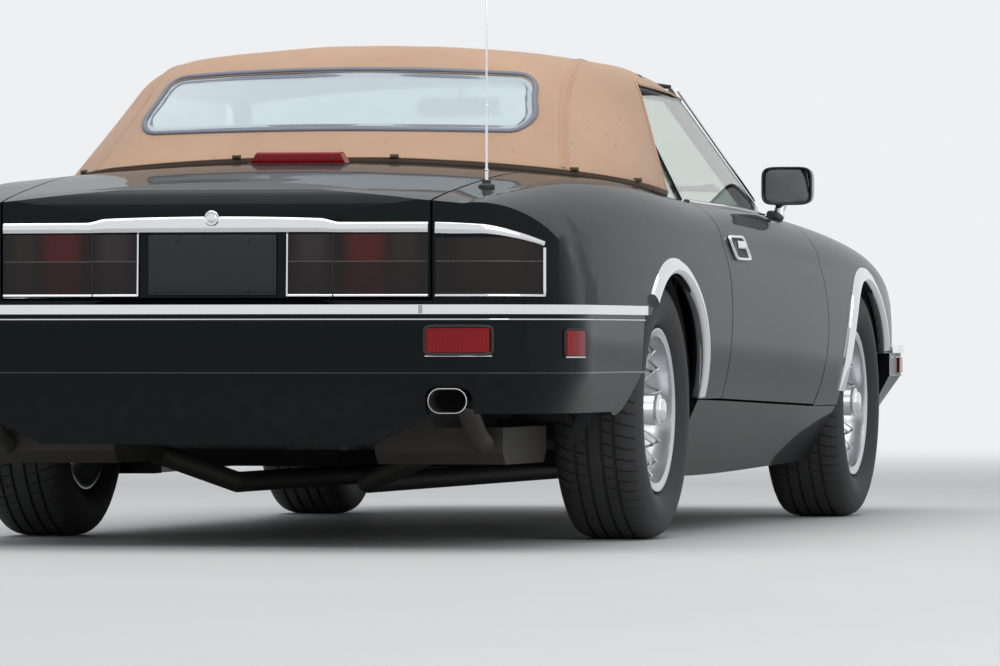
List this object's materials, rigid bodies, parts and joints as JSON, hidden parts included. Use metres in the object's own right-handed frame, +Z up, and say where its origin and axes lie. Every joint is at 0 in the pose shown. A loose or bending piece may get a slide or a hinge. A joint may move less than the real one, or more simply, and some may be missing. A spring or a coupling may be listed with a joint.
{
  "type": "grand touring convertible car",
  "caption": "Two-door touring convertible with its fabric hood raised, wire wheels, opening doors, bonnet and boot lid, and steered front wheels.",
  "frame": {"origin": "on the ground under the middle of the car's length and width", "axes": "+Z up, the nose points to -Y and the car's left side to +X"},
  "size_m": [1.8256, 4.8176, 1.4549],
  "materials": {
    "paint": "gloss",
    "chrome": "polished",
    "cloth": "matte",
    "black_plastic": "satin",
    "clear_glass": "gloss",
    "smoked_lamp": "gloss",
    "red_lamp": "gloss",
    "lamp_glass": "gloss",
    "underbody": "matte",
    "iron": "matte",
    "alloy": "satin",
    "steel": "satin",
    "leather": "satin",
    "tyre_rubber": "matte",
    "wheel_silver": "gloss"
  },
  "bodies": {
    "car": {"floor_pan": "underbody", "sills": "paint", "front_wings": "paint", "nose_panel": "paint", "scuttle": "paint", "rear_wings": "paint", "rear_deck": "paint", "tail_panel": "paint", "windscreen_frame": "paint", "windscreen": "clear_glass", "front_bumper": "paint", "rear_bumper": "paint", "bumper_blades": "chrome", "headlamps": "lamp_glass", "grille": "chrome", "wing_lamps": "smoked_lamp", "bumper_lamps": "red_lamp", "brake_lamp": "red_lamp", "arch_lips": "chrome", "hood": "cloth", "hood_bows": "black_plastic", "rear_window": "clear_glass", "quarter_windows": "clear_glass", "engine": "iron", "driveline": "alloy", "rear_axle": "iron", "front_suspension": "iron", "exhaust": "steel", "seats": "leather", "dashboard": "black_plastic", "wipers": "black_plastic", "aerial": "chrome"},
    "bonnet": {"bonnet": "paint"},
    "boot_lid": {"boot_lid": "paint", "lid_lamps": "smoked_lamp", "lid_trim": "chrome"},
    "fuel_flap": {"fuel_flap": "paint"},
    "door_left": {"door_left": "paint", "glass_left": "clear_glass", "trim_left": "chrome"},
    "door_right": {"door_right": "paint", "glass_right": "clear_glass", "trim_right": "chrome"},
    "knuckle_left": {"upright_left": "iron"},
    "knuckle_right": {"upright_right": "iron"},
    "wheel_front_left": {"tyre_front_left": "tyre_rubber", "wheel_front_left": "wheel_silver"},
    "wheel_front_right": {"tyre_front_right": "tyre_rubber", "wheel_front_right": "wheel_silver"},
    "wheel_rear_left": {"tyre_rear_left": "tyre_rubber", "wheel_rear_left": "wheel_silver"},
    "wheel_rear_right": {"tyre_rear_right": "tyre_rubber", "wheel_rear_right": "wheel_silver"}
  },
  "joints": [
    {"name": "door_left_hinge", "type": "hinge", "parent": "car", "child": "door_left", "pos_m": [0.893, -0.8, 0.55], "axis": [0, 0, -1], "range_deg": [0, 65]},
    {"name": "door_right_hinge", "type": "hinge", "parent": "car", "child": "door_right", "pos_m": [-0.893, -0.8, 0.55], "axis": [0, 0, 1], "range_deg": [0, 65]},
    {"name": "bonnet_hinge", "type": "hinge", "parent": "car", "child": "bonnet", "pos_m": [0, -2.262, 0.684], "axis": [1, 0, 0], "range_deg": [0, 50]},
    {"name": "boot_hinge", "type": "hinge", "parent": "car", "child": "boot_lid", "pos_m": [0, 1.502, 0.946], "axis": [1, 0, 0], "range_deg": [0, 60]},
    {"name": "fuel_flap_hinge", "type": "hinge", "parent": "car", "child": "fuel_flap", "pos_m": [0.712, 1.24, 0.93], "axis": [0, -1, 0], "range_deg": [0, 80]},
    {"name": "steer_left", "type": "hinge", "parent": "car", "child": "knuckle_left", "pos_m": [0.672, -1.455, 0.326], "axis": [0, 0, 1], "range_deg": [-30, 30]},
    {"name": "steer_right", "type": "hinge", "parent": "car", "child": "knuckle_right", "pos_m": [-0.672, -1.455, 0.326], "axis": [0, 0, 1], "range_deg": [-30, 30]},
    {"name": "spin_front_left", "type": "hinge", "parent": "knuckle_left", "child": "wheel_front_left", "pos_m": [0.744, -1.455, 0.326], "axis": [1, 0, 0], "continuous": true},
    {"name": "spin_front_right", "type": "hinge", "parent": "knuckle_right", "child": "wheel_front_right", "pos_m": [-0.744, -1.455, 0.326], "axis": [1, 0, 0], "continuous": true},
    {"name": "spin_rear_left", "type": "hinge", "parent": "car", "child": "wheel_rear_left", "pos_m": [0.752, 1.136, 0.326], "axis": [1, 0, 0], "continuous": true},
    {"name": "spin_rear_right", "type": "hinge", "parent": "car", "child": "wheel_rear_right", "pos_m": [-0.752, 1.136, 0.326], "axis": [1, 0, 0], "continuous": true}
  ],
  "couplings": [
    {"joint": "steer_right", "follows": "steer_left", "ratio": 1}
  ]
}
